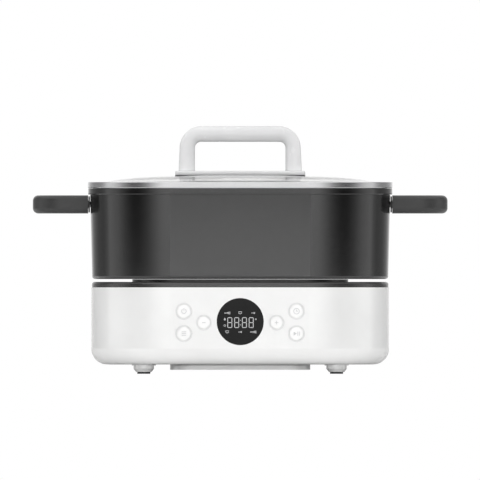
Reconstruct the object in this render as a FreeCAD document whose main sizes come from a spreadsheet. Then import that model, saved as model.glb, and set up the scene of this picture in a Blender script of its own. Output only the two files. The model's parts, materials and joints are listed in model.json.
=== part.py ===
import FreeCAD, Part
import Sketcher
import math
import os
import re

# Electric hot pot: a heating base with a control panel in its front, a lift-off
# cooking pot with two side handles, and a lift-off glass lid with a bail handle.
# Millimetres. +Z is up, the control panel faces -Y, and the origin is the middle
# of the floor footprint.

doc = FreeCAD.newDocument("HotPot")
sheet = doc.addObject("Spreadsheet::Sheet", "Sizes")

SIZES = [
    # Clearances
    ("rest_gap", 0.3),
    ("part_gap", 0.1),
    ("screw_gap", 0.1),
    # Feet
    ("foot_height", 9.3),
    ("foot_radius", 10.2),
    ("foot_sole_radius", 7.6),
    ("foot_taper", 3.2),
    ("foot_flange_radius", 12.0),
    ("foot_flange_height", 1.0),
    ("foot_stud_radius", 3.0),
    ("foot_barb", 0.6),
    ("foot_inset_x", 52.6),
    ("foot_inset_y", 53.0),
    ("pad_radius", 6.5),
    ("pad_proud", 1.8),
    ("pad_depth", 2.0),
    # Base housing
    ("base_length", 298.0),
    ("base_width", 246.0),
    ("base_corner", 80.0),
    ("housing_height", 77.1),
    ("housing_wall", 2.5),
    ("housing_floor", 5.0),
    ("housing_round", 16.0),
    ("ledge_outer", 17.0),
    ("ledge_inner", 27.0),
    ("lug_radius", 5.5),
    ("lug_height", 12.0),
    ("lug_inset", 4.5),
    # Bottom cover
    ("cover_thickness", 2.5),
    ("boss_length", 140.0),
    ("boss_width", 110.0),
    ("boss_corner", 20.0),
    ("boss_drop", 5.3),
    ("boss_wall", 2.0),
    ("vent_length", 84.0),
    ("vent_width", 3.0),
    ("vent_pitch", 9.0),
    ("vent_rows_each_side", 4),
    ("cover_screw_x", 56.0),
    ("cover_screw_y", 34.0),
    ("cover_screw_boss_radius", 4.0),
    ("cover_screw_boss_height", 8.0),
    # Screws
    ("screw_radius", 1.6),
    ("screw_head_radius", 3.0),
    ("screw_head_height", 1.2),
    ("screw_length", 9.0),
    ("screw_bite", 3.0),
    ("small_screw_radius", 1.2),
    ("small_screw_head_radius", 2.2),
    ("small_screw_length", 7.0),
    # Top plate, heating plate and heat shield
    ("top_plate_inset", 0.8),
    ("top_plate_thickness", 5.5),
    ("top_plate_round", 2.5),
    ("heater_length", 216.0),
    ("heater_width", 164.0),
    ("heater_corner", 45.0),
    ("heater_rise", 2.6),
    ("heater_gap", 0.6),
    ("heater_lip", 6.0),
    ("heater_lip_height", 3.7),
    ("heater_leg_radius", 6.0),
    ("heater_leg_x", 92.0),
    ("heater_leg_y", 60.0),
    ("element_radius", 3.4),
    ("element_length", 150.0),
    ("element_width", 96.0),
    ("element_corner", 38.0),
    ("element_end", 12.0),
    ("element_end_bend", 7.0),
    ("element_tail", 20.0),
    ("element_groove_depth", 4.0),
    ("element_groove_gap", 0.4),
    ("shield_thickness", 1.0),
    ("shield_depth", 17.1),
    ("shield_flange", 12.0),
    ("shield_gap", 1.0),
    ("shield_screw_x", 50.0),
    ("shield_screw_y", 35.0),
    ("shield_slot_length", 46.0),
    ("shield_slot_width", 18.0),
    # Pan sensor
    ("sensor_radius", 11.0),
    ("sensor_top_thickness", 3.0),
    ("sensor_skirt", 7.0),
    ("sensor_wall", 1.6),
    ("sensor_gap", 0.5),
    ("sensor_travel", 2.5),
    ("stem_radius", 4.0),
    ("stem_gap", 0.08),
    ("holder_radius", 12.0),
    ("holder_thickness", 2.0),
    ("guide_radius", 5.6),
    ("guide_height", 8.0),
    ("clip_radius", 6.5),
    ("clip_thickness", 1.0),
    ("clip_groove", 1.0),
    ("spring_radius", 7.4),
    ("spring_wire_radius", 0.6),
    ("spring_turns", 6.0),
    ("cutoff_radius", 8.5),
    ("cutoff_height", 9.0),
    ("cutoff_flange_width", 28.9),
    ("cutoff_place_x", 58.0),
    # Control panel
    ("panel_middle", 52.2),
    ("window_radius", 23.45),
    ("window_lip", 2.0),
    ("window_lip_thickness", 1.0),
    ("key_radius", 6.85),
    ("small_key_radius", 6.2),
    ("key_gap", 0.3),
    ("key_lip", 1.6),
    ("key_lip_thickness", 1.0),
    ("key_stem_radius", 2.0),
    ("key_stem", 2.3),
    ("key_travel", 0.5),
    ("key_column", 56.3),
    ("key_upper", 10.4),
    ("key_lower", -12.0),
    ("small_key_column", 36.4),
    ("small_key_level", -1.0),
    ("switch_side", 6.2),
    ("switch_height", 3.6),
    ("plunger_radius", 1.6),
    ("plunger_height", 0.8),
    ("board_length", 132.0),
    ("board_height", 50.0),
    ("board_thickness", 1.6),
    ("board_post_x", 36.0),
    ("board_post_rise", 19.0),
    ("board_post_radius", 3.2),
    ("module_length", 42.0),
    ("module_height", 22.0),
    ("module_gap", 0.3),
    # Power board
    ("power_length", 48.0),
    ("power_width", 96.0),
    ("power_place_x", -96.0),
    ("power_place_y", 6.0),
    ("power_post_height", 6.0),
    ("power_post_radius", 3.2),
    ("power_post_inset", 5.0),
    ("relay_length", 16.0),
    ("relay_width", 20.0),
    ("relay_height", 16.0),
    ("transformer_side", 22.0),
    ("transformer_height", 18.0),
    ("capacitor_radius", 6.0),
    ("capacitor_height", 15.0),
    ("terminal_length", 12.0),
    ("terminal_width", 24.0),
    ("terminal_height", 10.0),
    ("wire_radius", 1.3),
    ("wire_bend", 8.0),
    ("pin_wire_bend", 6.4),
    # Mains inlet
    ("inlet_middle", 46.0),
    ("inlet_length", 32.0),
    ("inlet_height", 24.0),
    ("inlet_depth", 26.0),
    ("inlet_corner", 4.0),
    ("inlet_wall", 2.0),
    ("inlet_back", 6.0),
    ("inlet_lip", 4.0),
    ("inlet_lip_thickness", 2.0),
    ("pin_thickness", 2.0),
    ("pin_height", 4.0),
    ("pin_spacing", 14.0),
    ("pin_level", 2.5),
    ("earth_pin_rise", 2.5),
    ("pin_setback", 4.0),
    ("pin_tail", 7.0),
    # Pot
    ("pot_length", 300.2),
    ("pot_width", 248.2),
    ("pot_corner", 80.0),
    ("pot_height", 90.7),
    ("pot_draft", 2.1),
    ("pot_wall", 2.6),
    ("pot_floor", 4.0),
    ("pot_bottom_round", 3.0),
    ("pot_inner_round", 12.0),
    ("pot_flange", 2.0),
    ("pot_flange_height", 6.2),
    ("pot_flange_round", 0.8),
    # Side handles
    ("handle_reach", 55.3),
    ("handle_width", 96.0),
    ("handle_height", 18.2),
    ("handle_drop", 0.8),
    ("handle_leg", 17.0),
    ("handle_bar", 17.0),
    ("handle_corner", 28.0),
    ("handle_inner_corner", 12.0),
    ("handle_round", 5.5),
    ("bracket_gap", 0.15),
    ("bracket_thickness", 1.5),
    ("bracket_height", 16.0),
    ("bracket_inset", 2.0),
    ("lug_side", 7.0),
    ("lug_length", 17.0),
    ("socket_gap", 0.3),
    ("handle_screw_radius", 1.9),
    ("handle_screw_head_radius", 3.6),
    ("handle_screw_head_height", 1.8),
    ("handle_screw_length", 9.5),
    ("rivet_radius", 3.0),
    ("rivet_head_radius", 5.0),
    ("rivet_head_height", 1.5),
    ("rivet_spacing", 36.0),
    # Lid
    ("rim_overhang", 0.2),
    ("rim_height", 6.0),
    ("rim_wall", 1.0),
    ("rim_round", 0.7),
    ("rim_lip", 7.0),
    ("skirt_gap", 0.6),
    ("skirt_depth", 4.0),
    ("glass_thickness", 4.0),
    ("dome_rise", 8.2),
    ("seat_depth", 2.1),
    ("seat_margin", 1.0),
    ("bail_length", 123.2),
    ("bail_lean", 2.0),
    ("bail_height", 44.8),
    ("bail_thickness", 15.7),
    ("bail_leg", 16.4),
    ("bail_depth", 24.0),
    ("bail_corner", 22.0),
    ("bail_inner_corner", 6.0),
    ("bail_outer_round", 5.0),
    ("bail_inner_round", 9.0),
    ("bail_screw_spacing", 104.4),
    ("bail_screw_radius", 2.0),
    ("bail_screw_head_radius", 4.0),
    ("bail_screw_head_height", 2.4),
    ("bail_screw_grip", 14.0),
    ("guard_length", 130.0),
    ("guard_width", 36.0),
    ("guard_corner", 5.0),
    ("guard_thickness", 4.1),
    ("guard_round", 1.5),
    ("gasket_thickness", 2.0),
    ("bush_radius", 7.0),
    ("bush_taper", 1.5),
    ("washer_radius", 8.5),
    ("washer_thickness", 1.2),
    ("vent_bore_radius", 2.0),
    ("vent_sleeve_radius", 3.2),
    ("vent_flange_radius", 5.0),
    ("vent_flange_height", 0.8),
    ("vent_place_y", 56.0),
    ("vent_drop", 1.148),
]

# Levels and places that follow from the sizes above
FOLLOWS = {
    "housing_top": "foot_height + housing_height",
    "plate_top": "housing_top + top_plate_thickness",
    "heater_top": "plate_top + heater_rise",
    "heater_lip_top": "housing_top - rest_gap",
    "heater_bottom": "heater_lip_top - heater_lip_height",
    "heater_hole_radius": "sensor_radius + sensor_gap",
    "shield_floor": "heater_lip_top - shield_depth",
    "shield_inner_length": "heater_length + 2 * (heater_lip + shield_gap)",
    "shield_inner_width": "heater_width + 2 * (heater_lip + shield_gap)",
    "shield_inner_corner": "heater_corner + heater_lip + shield_gap",
    "shield_edge": "shield_thickness + shield_flange",
    "shield_screw_line": "shield_thickness + shield_flange / 2",
    "element_level": "heater_bottom + element_groove_depth - element_radius - element_groove_gap / 2",
    "cover_screw_inset": "(ledge_outer + ledge_inner) / 2",
    "cover_top": "foot_height + cover_thickness",
    "front_face": "-base_width / 2",
    "inner_front": "front_face + housing_wall",
    "key_depth": "housing_wall + key_gap + key_lip_thickness + key_stem",
    "switch_front": "front_face + key_depth + key_travel + rest_gap",
    "board_front": "switch_front + plunger_height + switch_height",
    "power_board_level": "cover_top + power_post_height",
    "power_top": "power_board_level + board_thickness",
    "pot_bottom": "heater_top + rest_gap",
    "pot_top": "pot_bottom + pot_height",
    "flange_bottom": "pot_top - pot_flange_height",
    "handle_bottom": "flange_bottom - handle_drop - handle_height",
    "handle_level": "handle_bottom + handle_height / 2",
    "handle_leg_place": "handle_width / 2 - handle_leg / 2",
    "bracket_face": "pot_length / 2 + bracket_gap",
    "handle_root": "bracket_face + bracket_thickness + rest_gap",
    "lug_screw_x": "bracket_face + bracket_thickness + lug_length / 2",
    "lid_bottom": "pot_top + rest_gap",
    "rim_length": "pot_length + 2 * (pot_flange + rim_overhang)",
    "rim_width": "pot_width + 2 * (pot_flange + rim_overhang)",
    "rim_corner": "pot_corner + pot_flange + rim_overhang",
    "rim_top": "lid_bottom + rim_height",
    "glass_bottom": "lid_bottom + rim_wall + part_gap",
    "brim_top": "rim_top - rim_wall - part_gap",
    "glass_inset": "rim_wall + part_gap",
    "skirt_inset": "rim_overhang + pot_flange + pot_wall + skirt_gap",
    "guard_top": "guard_bottom + guard_thickness",
    "guard_bottom": "seat_level + gasket_thickness",
    "seat_level": "brim_top + dome_rise - seat_depth",
    "seat_underside": "seat_level - glass_thickness",
    "washer_top": "seat_underside - part_gap",
    "washer_bottom": "washer_top - washer_thickness",
    "vent_level": "brim_top + dome_rise - vent_drop",
}
NAMES = {alias for alias, size in SIZES}
for row, (alias, size) in enumerate(SIZES, start=1):
    sheet.set("A%d" % row, alias)
    sheet.set("B%d" % row, str(size))
    sheet.setAlias("B%d" % row, alias)
doc.recompute()

PARTS = []
QUARTER_TURN = math.pi / 2


def linked(formula):
    """A formula written with size names, as an expression on the sheet."""
    def name_to_cell(word):
        if word.group() in NAMES:
            return "Sizes." + word.group()
        if word.group() in FOLLOWS:
            return "(" + linked(FOLLOWS[word.group()]) + ")"
        return word.group()
    return re.sub(r"[a-z_]+", name_to_cell, formula)


def value(formula):
    """The number a formula stands for."""
    return float(sheet.evalExpression(linked(formula)))


def bind(item, **formulas):
    """Bind properties of an object to the sheet."""
    for name, formula in formulas.items():
        item.setExpression(name, linked(formula))
    return item


UPRIGHT = FreeCAD.Rotation()
FRONTWARD = FreeCAD.Rotation(FreeCAD.Vector(1, 0, 0), 90)
REARWARD = FreeCAD.Rotation(FreeCAD.Vector(1, 0, 0), -90)
RIGHTWARD = FreeCAD.Rotation(FreeCAD.Vector(0, 1, 0), 90)
DOWNWARD = FreeCAD.Rotation(FreeCAD.Vector(1, 0, 0), 180)


def place(item, at, turn=UPRIGHT):
    """Turn an object and bind its origin to three formulas."""
    item.Placement = FreeCAD.Placement(FreeCAD.Vector(), turn)
    for axis, formula in zip("xyz", at):
        if formula != "0":
            item.setExpression("Placement.Base." + axis, linked(formula))
    return item


def node(item, name):
    """Name a finished sub-part."""
    item.Label = name
    PARTS.append(item)
    return item


def cylinder(radius, height, at=("0", "0", "0"), turn=UPRIGHT):
    item = bind(doc.addObject("Part::Cylinder", "Rod"), Radius=radius, Height=height)
    return place(item, at, turn)


def block(size, at):
    """A box centred on at in x and y, standing on at in z."""
    item = bind(doc.addObject("Part::Box", "Block"), Length=size[0], Width=size[1], Height=size[2])
    corner = ("%s - (%s) / 2" % (at[0], size[0]), "%s - (%s) / 2" % (at[1], size[1]), at[2])
    return place(item, corner)


def cut(base, *tools):
    item = doc.addObject("Part::Cut", "Cut")
    item.Base = base
    item.Tool = tools[0] if len(tools) == 1 else group(*tools)
    return item


def fuse(*pieces):
    item = doc.addObject("Part::MultiFuse", "Fuse")
    item.Shapes = list(pieces)
    return item


def group(*pieces):
    item = doc.addObject("Part::Compound", "Group")
    item.Links = list(pieces)
    return item


def constrain(sketch, kind, *places, formula=None):
    """Add a constraint, bound to a formula when it has a size."""
    if formula is None:
        sketch.addConstraint(Sketcher.Constraint(kind, *places))
        return
    index = sketch.addConstraint(Sketcher.Constraint(kind, *places, value(formula)))
    sketch.setExpression("Constraints[%d]" % index, linked(formula))


def draw_outline(sketch, length, width, corner):
    """A rounded rectangle centred on the sketch's origin."""
    half_x, half_y, radius = value(length) / 2, value(width) / 2, value(corner)
    inner_x, inner_y = half_x - radius, half_y - radius
    corners = [(inner_x, inner_y), (-inner_x, inner_y), (-inner_x, -inner_y), (inner_x, -inner_y)]
    for index, (middle_x, middle_y) in enumerate(corners):
        circle = Part.Circle(FreeCAD.Vector(middle_x, middle_y, 0), FreeCAD.Vector(0, 0, 1), radius)
        sketch.addGeometry(Part.ArcOfCircle(circle, index * QUARTER_TURN, (index + 1) * QUARTER_TURN))
    ends = [(inner_x, half_y, -inner_x, half_y), (-half_x, inner_y, -half_x, -inner_y),
            (-inner_x, -half_y, inner_x, -half_y), (half_x, -inner_y, half_x, inner_y)]
    for start_x, start_y, end_x, end_y in ends:
        start = FreeCAD.Vector(start_x, start_y, 0)
        sketch.addGeometry(Part.LineSegment(start, FreeCAD.Vector(end_x, end_y, 0)))
    for index in range(4):
        constrain(sketch, "Tangent", index, 2, 4 + index, 1)
        constrain(sketch, "Tangent", 4 + index, 2, (index + 1) % 4, 1)
    for index in (4, 6):
        constrain(sketch, "Horizontal", index)
    for index in (5, 7):
        constrain(sketch, "Vertical", index)
    for index in (1, 2, 3):
        constrain(sketch, "Equal", 0, index)
    constrain(sketch, "Symmetric", 0, 3, 2, 3, -1, 1)
    constrain(sketch, "Radius", 0, formula=corner)
    constrain(sketch, "DistanceX", 5, 1, 7, 1, formula=length)
    constrain(sketch, "DistanceY", 6, 1, 4, 1, formula=width)


def draw_polygon(sketch, points):
    """A closed polygon whose corners are bound to pairs of formulas."""
    corners = [FreeCAD.Vector(value(x), value(y), 0) for x, y in points]
    for start, end in zip(corners, corners[1:] + corners[:1]):
        sketch.addGeometry(Part.LineSegment(start, end))
    for index, (x, y) in enumerate(points):
        constrain(sketch, "Coincident", index, 1, (index - 1) % len(points), 2)
        if x == "0":
            constrain(sketch, "PointOnObject", index, 1, -2)
        else:
            constrain(sketch, "DistanceX", -1, 1, index, 1, formula=x)
        if y == "0":
            constrain(sketch, "PointOnObject", index, 1, -1)
        else:
            constrain(sketch, "DistanceY", -1, 1, index, 1, formula=y)


def outline(length, width, corner):
    """A free rounded rectangle, for extrusions and lofts."""
    sketch = doc.addObject("Sketcher::SketchObject", "Outline")
    draw_outline(sketch, length, width, corner)
    return sketch


def slab(length, width, corner, bottom, thickness, at=("0", "0")):
    """A rounded rectangle of some thickness."""
    item = doc.addObject("Part::Extrusion", "Slab")
    item.Base = outline(length, width, corner)
    item.DirMode = "Normal"
    item.Solid = True
    bind(item, LengthFwd=thickness)
    return place(item, (at[0], at[1], bottom))


def new_body(name):
    return doc.addObject("PartDesign::Body", name)


def new_sketch(body, role="XY_Plane", offset="0"):
    """A sketch on one of the body's own origin planes."""
    sketch = body.newObject("Sketcher::SketchObject", "Sketch")
    plane = next(item for item in body.Origin.OriginFeatures if item.Role == role)
    sketch.AttachmentSupport = [(plane, "")]
    sketch.MapMode = "FlatFace"
    if offset != "0":
        sketch.setExpression("AttachmentOffset.Base.z", linked(offset))
    return sketch


def plan(body, length, width, corner, level):
    sketch = new_sketch(body, "XY_Plane", level)
    draw_outline(sketch, length, width, corner)
    return sketch


def pad(body, sketch, length, both_ways=False):
    item = body.newObject("PartDesign::Pad", "Pad")
    item.Profile = sketch
    item.Midplane = both_ways
    bind(item, Length=length)
    doc.recompute()
    return item


def pocket(body, sketch, depth, upward=False):
    """Cut a sketch out of the body, downward unless told otherwise."""
    before = body.Shape.Volume
    item = body.newObject("PartDesign::Pocket", "Pocket")
    item.Profile = sketch
    item.Reversed = upward
    bind(item, Length=depth)
    doc.recompute()
    if not body.Shape.Volume < before:
        raise RuntimeError("a pocket in %s cut nothing" % body.Name)
    return item


def fillet(body, radius, wanted):
    """Round the edges of the body's last feature that wanted accepts."""
    base = body.Tip
    names = ["Edge%d" % number for number, edge in enumerate(base.Shape.Edges, start=1) if wanted(edge)]
    item = body.newObject("PartDesign::Fillet", "Fillet")
    item.Base = (base, names)
    bind(item, Radius=radius)
    doc.recompute()
    if not names or "Invalid" in item.State:
        raise RuntimeError("a fillet in %s failed on %d edges" % (body.Name, len(names)))
    return item


NEAR = 0.01


def level_edge(level, reach=None):
    """Accepts edges that lie at a height, with a middle no further out in x than reach."""
    height = value(level)
    limit = value(reach) if reach else float("inf")

    def wanted(edge):
        middle = edge.valueAt((edge.FirstParameter + edge.LastParameter) / 2)
        ends = [vertex.Z for vertex in edge.Vertexes]
        flat = all(abs(z - height) < NEAR for z in ends + [middle.z])
        return flat and max(abs(vertex.X) for vertex in edge.Vertexes) < limit + NEAR
    return wanted


def turned(name, points, at=("0", "0", "0"), turn=UPRIGHT):
    """A body of revolution about its own z axis, from (radius, height) corners."""
    body = new_body(name)
    sketch = new_sketch(body, "XZ_Plane")
    draw_polygon(sketch, points)
    item = body.newObject("PartDesign::Revolution", "Revolution")
    item.Profile = sketch
    item.ReferenceAxis = (sketch, ["V_Axis"])
    item.Angle = 360
    return place(body, at, turn)


def screw(at, turn=UPRIGHT, radius="screw_radius", head_radius="screw_head_radius",
          head_height="screw_head_height", length="screw_length"):
    """A pan-head screw that drives towards its own +z, with its head below at."""
    points = [("0", "-(%s)" % head_height), (head_radius, "-(%s)" % head_height), (head_radius, "0"),
              (radius, "0"), (radius, length), ("0", length)]
    return turned("Screw", points, at, turn)


def signs(*pairs):
    """Pairs of formulas, with every mix of signs."""
    return [("%s(%s)" % (sign_x, x), "%s(%s)" % (sign_y, y))
            for x, y in pairs for sign_x in ("", "-") for sign_y in ("", "-")]


def tube(points, radius):
    """A round bar along straight runs and tangent arcs, from (x, y, z, bend) corners."""
    corners = [FreeCAD.Vector(*[value(text) for text in point[:3]]) for point in points]
    edges = []
    start = corners[0]
    for index in range(1, len(points) - 1):
        corner = corners[index]
        back = (corners[index - 1] - corner).normalize()
        ahead = (corners[index + 1] - corner).normalize()
        turn = math.pi - back.getAngle(ahead)
        bend = value(points[index][3])
        reach = bend * math.tan(turn / 2)
        middle_way = (back + ahead).normalize()
        middle = corner + middle_way * (bend / math.cos(turn / 2) - bend)
        first = corner + back * reach
        last = corner + ahead * reach
        edges.append(Part.LineSegment(start, first).toShape())
        edges.append(Part.Arc(first, middle, last).toShape())
        start = last
    edges.append(Part.LineSegment(start, corners[-1]).toShape())
    path = Part.Wire(edges)
    section = Part.Wire([Part.Circle(corners[0], corners[1] - corners[0], value(radius)).toShape()])
    item = doc.addObject("Part::Feature", "Tube")
    item.Shape = path.makePipeShell([section], True, False)
    return item


# Feet: a flanged plastic foot pressed into the bottom cover, with a rubber pad
FEET = signs(("base_length / 2 - foot_inset_x", "base_width / 2 - foot_inset_y"))
FOOT_NAMES = ("rear_right", "front_right", "rear_left", "front_left")
for (x, y), corner_name in zip(FEET, FOOT_NAMES):
    recess = "pad_radius + part_gap"
    foot_profile = [
        ("0", "pad_proud + pad_depth"), (recess, "pad_proud + pad_depth"), (recess, "pad_proud"),
        ("foot_sole_radius", "pad_proud"), ("foot_radius", "pad_proud + foot_taper"),
        ("foot_radius", "foot_height - foot_flange_height"),
        ("foot_flange_radius", "foot_height - foot_flange_height"), ("foot_flange_radius", "foot_height"),
        ("foot_stud_radius", "foot_height"), ("foot_stud_radius", "cover_top + part_gap"),
        ("foot_stud_radius + foot_barb", "cover_top + part_gap"),
        ("foot_stud_radius", "cover_top + part_gap + 2 * foot_barb"),
        ("0", "cover_top + part_gap + 2 * foot_barb"),
    ]
    node(turned("Foot", foot_profile, (x, y, "0")), "foot_" + corner_name)
    rubber = cylinder("pad_radius", "pad_proud + pad_depth - part_gap", (x, y, "0"))
    node(rubber, "foot_pad_" + corner_name)

# Bottom cover with its vented boss
COVER_SCREWS = (signs(("base_length / 2 - cover_screw_inset", "cover_screw_y"))
                + signs(("cover_screw_x", "base_width / 2 - cover_screw_inset")))
cover = new_body("BottomCover")
cover_cut = "2 * (ledge_outer + rest_gap)"
cover_plan = ("base_length - " + cover_cut, "base_width - " + cover_cut,
              "base_corner - ledge_outer - rest_gap")
pad(cover, plan(cover, *cover_plan, "foot_height"), "cover_thickness")
pad(cover, plan(cover, "boss_length", "boss_width", "boss_corner", "foot_height - boss_drop"),
    "boss_drop + cover_thickness / 2")
pocket(cover, plan(cover, "boss_length - 2 * boss_wall", "boss_width - 2 * boss_wall",
                   "boss_corner - boss_wall", "cover_top"), "boss_drop + cover_thickness - boss_wall")
rows_each_side = round(value("vent_rows_each_side"))
VENT_ROWS = range(-rows_each_side, rows_each_side + 1)
vents = [block(("vent_length", "vent_width", "2 * boss_wall"),
               ("0", "%d * vent_pitch" % step, "foot_height - boss_drop - boss_wall / 2"))
         for step in VENT_ROWS]
foot_holes = [cylinder("foot_stud_radius + part_gap", "2 * cover_thickness",
                       (x, y, "foot_height - cover_thickness / 2"))
              for x, y in FEET]
cover_holes = [cylinder("screw_radius + screw_gap", "2 * cover_thickness",
                        (x, y, "foot_height - cover_thickness / 2"))
               for x, y in COVER_SCREWS]
cover_recesses = [cylinder("screw_head_radius + screw_gap", "screw_head_height + part_gap",
                           (x, y, "foot_height"))
                  for x, y in COVER_SCREWS]
POWER_POSTS = [("power_place_x + " + x, "power_place_y + " + y) for x, y in signs(
    ("power_length / 2 - power_post_inset", "power_width / 2 - power_post_inset"))]
power_posts = [cylinder("power_post_radius", "power_post_height + cover_thickness / 2",
                        (x, y, "cover_top - cover_thickness / 2")) for x, y in POWER_POSTS]
post_holes = [cylinder("small_screw_radius + screw_gap", "power_post_height",
                       (x, y, "cover_top + part_gap")) for x, y in POWER_POSTS]
node(cut(fuse(cover, *power_posts), *vents, *foot_holes, *cover_holes, *cover_recesses, *post_holes),
     "bottom_cover")
node(group(*[screw((x, y, "foot_height + screw_head_height")) for x, y in COVER_SCREWS]), "cover_screws")

# Housing: white shell, open at the top and bottom, with screw bosses and panel holes
housing = new_body("Housing")
pad(housing, plan(housing, "base_length", "base_width", "base_corner", "foot_height"), "housing_height")
fillet(housing, "housing_round", level_edge("foot_height"))
pocket(housing, plan(housing, "base_length - 2 * ledge_inner", "base_width - 2 * ledge_inner",
                     "base_corner - ledge_inner", "housing_top"), "housing_height")
pocket(housing, plan(housing, "base_length - 2 * ledge_outer", "base_width - 2 * ledge_outer",
                     "base_corner - ledge_outer", "foot_height"), "cover_thickness + part_gap", upward=True)
housing_hollow = new_body("HousingHollow")
pad(housing_hollow, plan(housing_hollow, "base_length - 2 * housing_wall", "base_width - 2 * housing_wall",
                         "base_corner - housing_wall", "foot_height + housing_floor"), "housing_height")
fillet(housing_hollow, "housing_round - housing_wall", level_edge("foot_height + housing_floor"))

LUG_FROM_CORNER = "(base_corner - (base_corner - housing_wall - lug_inset) * sqrt(1 / 2))"
CORNER_LUGS = signs(("base_length / 2 - " + LUG_FROM_CORNER, "base_width / 2 - " + LUG_FROM_CORNER))
corner_lugs = [cylinder("lug_radius", "lug_height", (x, y, "housing_top - lug_height")) for x,
               y in CORNER_LUGS]
cover_bosses = [cylinder("cover_screw_boss_radius", "cover_screw_boss_height",
                         (x, y, "foot_height + housing_floor"))
                for x, y in COVER_SCREWS]
BOARD_POSTS = signs(("board_post_x", "board_post_rise"))
board_posts = [cylinder("board_post_radius", "board_front - part_gap - inner_front + housing_wall / 2",
                        (x, "inner_front - housing_wall / 2", "panel_middle + " + z), REARWARD)
               for x, z in BOARD_POSTS]
board_post_holes = [cylinder("small_screw_radius + screw_gap", "small_screw_length",
                             (x, "board_front + part_gap", "panel_middle + " + z), FRONTWARD)
                    for x, z in BOARD_POSTS]
lug_holes = [cylinder("screw_radius + screw_gap", "2 * lug_height", (x, y, "housing_top - 1.5 * lug_height"))
             for x, y in CORNER_LUGS]
boss_holes = [cylinder("screw_radius + screw_gap", "2 * screw_length", (x, y, "foot_height"))
              for x, y in COVER_SCREWS]

KEYS = {
    "power": ("-key_column", "key_upper", "key_radius"),
    "menu": ("-key_column", "key_lower", "key_radius"),
    "minus": ("-small_key_column", "small_key_level", "small_key_radius"),
    "plus": ("small_key_column", "small_key_level", "small_key_radius"),
    "timer": ("key_column", "key_upper", "key_radius"),
    "start": ("key_column", "key_lower", "key_radius"),
}
window_hole = cylinder("window_radius + part_gap", "2 * housing_wall",
                       ("0", "front_face + 1.5 * housing_wall", "panel_middle"), FRONTWARD)
key_holes = [cylinder(radius + " + key_gap", "2 * housing_wall",
                      (x, "front_face + 1.5 * housing_wall", "panel_middle + " + z), FRONTWARD)
             for x, z, radius in KEYS.values()]
INLET_GAP = "2 * rest_gap"
inlet_hole = slab("inlet_length + " + INLET_GAP, "inlet_height + " + INLET_GAP, "inlet_corner + rest_gap",
                  "0",
                  "2 * housing_wall")
place(inlet_hole, ("0", "base_width / 2 + housing_wall / 2", "inlet_middle"), FRONTWARD)
node(cut(fuse(cut(housing, housing_hollow), *corner_lugs, *cover_bosses, *board_posts), *board_post_holes,
         *lug_holes, *boss_holes,
         window_hole, *key_holes, inlet_hole), "base_housing")

# Top plate that closes the housing around the heating plate
top_plate = new_body("TopPlate")
pad(top_plate, plan(top_plate, "base_length - 2 * top_plate_inset", "base_width - 2 * top_plate_inset",
                    "base_corner - top_plate_inset", "housing_top"), "top_plate_thickness")
fillet(top_plate, "top_plate_round", level_edge("plate_top"))
pocket(top_plate, plan(top_plate, "heater_length + 2 * heater_gap", "heater_width + 2 * heater_gap",
                       "heater_corner + heater_gap", "plate_top"), "top_plate_thickness")
SHIELD_SCREWS = (signs(("shield_inner_length / 2 + shield_screw_line", "shield_screw_y"))
                 + signs(("shield_screw_x", "shield_inner_width / 2 + shield_screw_line")))
plate_holes = [cylinder("screw_radius + screw_gap", "top_plate_thickness - top_plate_round / 2",
                        (x, y, "housing_top"))
               for x, y in CORNER_LUGS + SHIELD_SCREWS]
node(cut(top_plate, *plate_holes), "top_plate")
LUG_SCREW_LENGTH = "lug_height + screw_bite"
node(group(*[screw((x, y, "housing_top - lug_height"), length=LUG_SCREW_LENGTH) for x, y in CORNER_LUGS]),
     "top_plate_screws")

# Cast heating plate with its element
heater = new_body("HeatingPlate")
pad(heater, plan(heater, "heater_length + 2 * heater_lip", "heater_width + 2 * heater_lip",
                 "heater_corner + heater_lip", "heater_bottom"), "heater_lip_height")
pad(heater, plan(heater, "heater_length", "heater_width", "heater_corner", "heater_lip_top"),
    "heater_top - heater_lip_top")
fillet(heater, "heater_gap", level_edge("heater_top"))
GROOVE_HALF = "(element_radius + element_groove_gap)"
groove = cut(
    slab("element_length + 2 * " + GROOVE_HALF, "element_width + 2 * " + GROOVE_HALF,
         "element_corner + " + GROOVE_HALF, "heater_bottom - rest_gap", "element_groove_depth + rest_gap"),
    slab("element_length - 2 * " + GROOVE_HALF, "element_width - 2 * " + GROOVE_HALF,
         "element_corner - " + GROOVE_HALF, "heater_bottom - 2 * rest_gap",
         "element_groove_depth + 3 * rest_gap"))
HEATER_LEGS = signs(("heater_leg_x", "heater_leg_y"))
LEG_HEIGHT = "(heater_bottom - shield_floor - shield_thickness - rest_gap)"
heater_legs = [cylinder("heater_leg_radius", LEG_HEIGHT + " + heater_lip_height / 2",
                        (x, y, "shield_floor + shield_thickness + rest_gap")) for x, y in HEATER_LEGS]
leg_holes = [cylinder("screw_radius + screw_gap", "screw_length", (x, y, "shield_floor + shield_thickness"))
             for x, y in HEATER_LEGS]
sensor_hole = cylinder("heater_hole_radius", "2 * (heater_top - heater_bottom)",
                       ("0", "0", "heater_bottom - rest_gap"))
node(cut(fuse(heater, *heater_legs), groove, *leg_holes, sensor_hole), "heating_plate")

half_length = "element_length / 2"
half_width = "element_width / 2"
tail_end = "element_level - element_tail"
element_path = [
    ("-element_end", half_width, tail_end, "0"),
    ("-element_end", half_width, "element_level", "element_end_bend"),
    ("-" + half_length, half_width, "element_level", "element_corner"),
    ("-" + half_length, "-" + half_width, "element_level", "element_corner"),
    (half_length, "-" + half_width, "element_level", "element_corner"),
    (half_length, half_width, "element_level", "element_corner"),
    ("element_end", half_width, "element_level", "element_end_bend"),
    ("element_end", half_width, tail_end, "0"),
]
node(tube(element_path, "element_radius"), "heating_element")

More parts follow.
